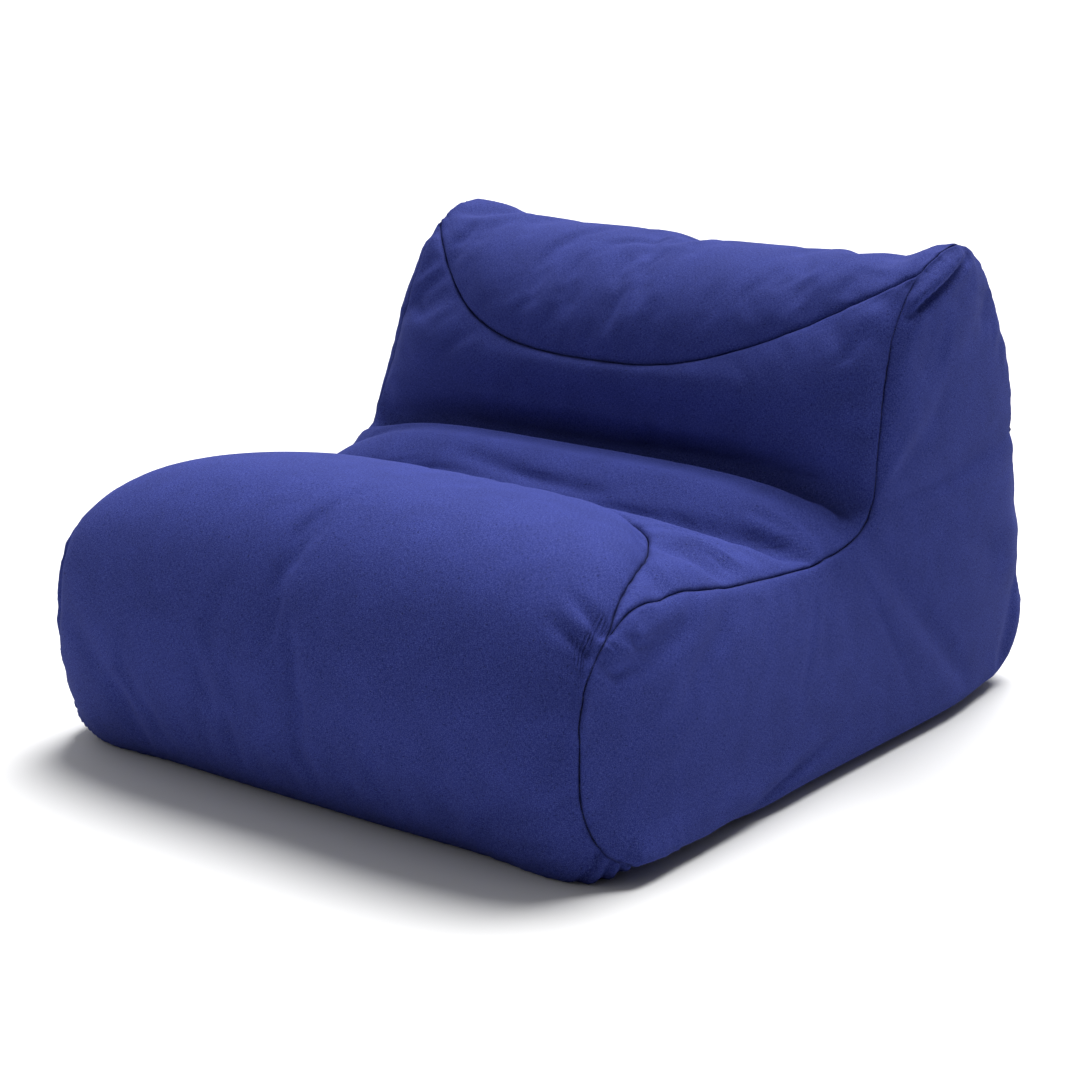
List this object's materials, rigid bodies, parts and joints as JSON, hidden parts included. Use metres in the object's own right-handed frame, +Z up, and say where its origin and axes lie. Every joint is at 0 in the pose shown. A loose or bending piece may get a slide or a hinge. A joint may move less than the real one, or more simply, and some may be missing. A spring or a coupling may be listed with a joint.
{
  "type": "bean bag chair",
  "caption": "Low soft lounge chair: a sewn cloth cover with a rear zip over a bead-filled seat bag and back bag, resting on a flat base cloth.",
  "frame": {"origin": "on the floor, under the middle of the chair's overall box", "axes": "+Z up, the front faces -Y, +X is to the right of someone who faces the front"},
  "size_m": [0.846, 1.031, 0.6037],
  "materials": {
    "cover_cloth": "heathered woven cotton canvas, matt",
    "base_cloth": "dark non-slip woven base cloth",
    "zip_tape": "woven zip tape dyed to the cover",
    "zip_coil": "moulded polyester coil",
    "zip_metal": "die-cast slider, satin",
    "bag_cloth": "plain white polyester lining",
    "bag_zip": "white zip tape and coil",
    "bead_filling": "loose expanded polystyrene beads"
  },
  "bodies": {
    "chair": {"front_panel": "cover_cloth", "seat_back_panel": "cover_cloth", "head_panel": "cover_cloth", "rear_panel": "cover_cloth", "rear_lower_panel": "cover_cloth", "left_side_panel": "cover_cloth", "right_side_panel": "cover_cloth", "base_panel": "base_cloth", "zip_tape_upper": "zip_tape", "zip_tape_lower": "zip_tape", "zip_coil_upper": "zip_coil", "zip_coil_lower": "zip_coil", "zip_stop_left": "zip_metal", "zip_stop_right": "zip_metal", "seat_bag": "bag_cloth", "back_bag": "bag_cloth", "seat_bag_zip_tape": "bag_zip", "seat_bag_zip_coil": "bag_zip", "back_bag_zip_tape": "bag_zip", "back_bag_zip_coil": "bag_zip", "seat_fill": "bead_filling", "back_fill": "bead_filling"},
    "zip_slider": {"zip_slider": "zip_metal"},
    "zip_pull": {"zip_pull": "zip_metal"},
    "seat_bag_slider": {"seat_bag_zip_slider": "zip_metal"},
    "back_bag_slider": {"back_bag_zip_slider": "zip_metal"}
  },
  "joints": [
    {"name": "zip_slide", "type": "slide", "parent": "chair", "child": "zip_slider", "axis": [-1, 0, 0], "range_m": [0, 0.75]},
    {"name": "pull_swing", "type": "hinge", "parent": "zip_slider", "child": "zip_pull", "pos_m": [0.375, 0.48399, 0.185], "axis": [0, 0, -1], "range_deg": [0, 170]},
    {"name": "seat_bag_zip_slide", "type": "slide", "parent": "chair", "child": "seat_bag_slider", "axis": [-1, 0, 0], "range_m": [0, 0.326]},
    {"name": "back_bag_zip_slide", "type": "slide", "parent": "chair", "child": "back_bag_slider", "axis": [1, 0, 0], "range_m": [0, 0.326]}
  ]
}
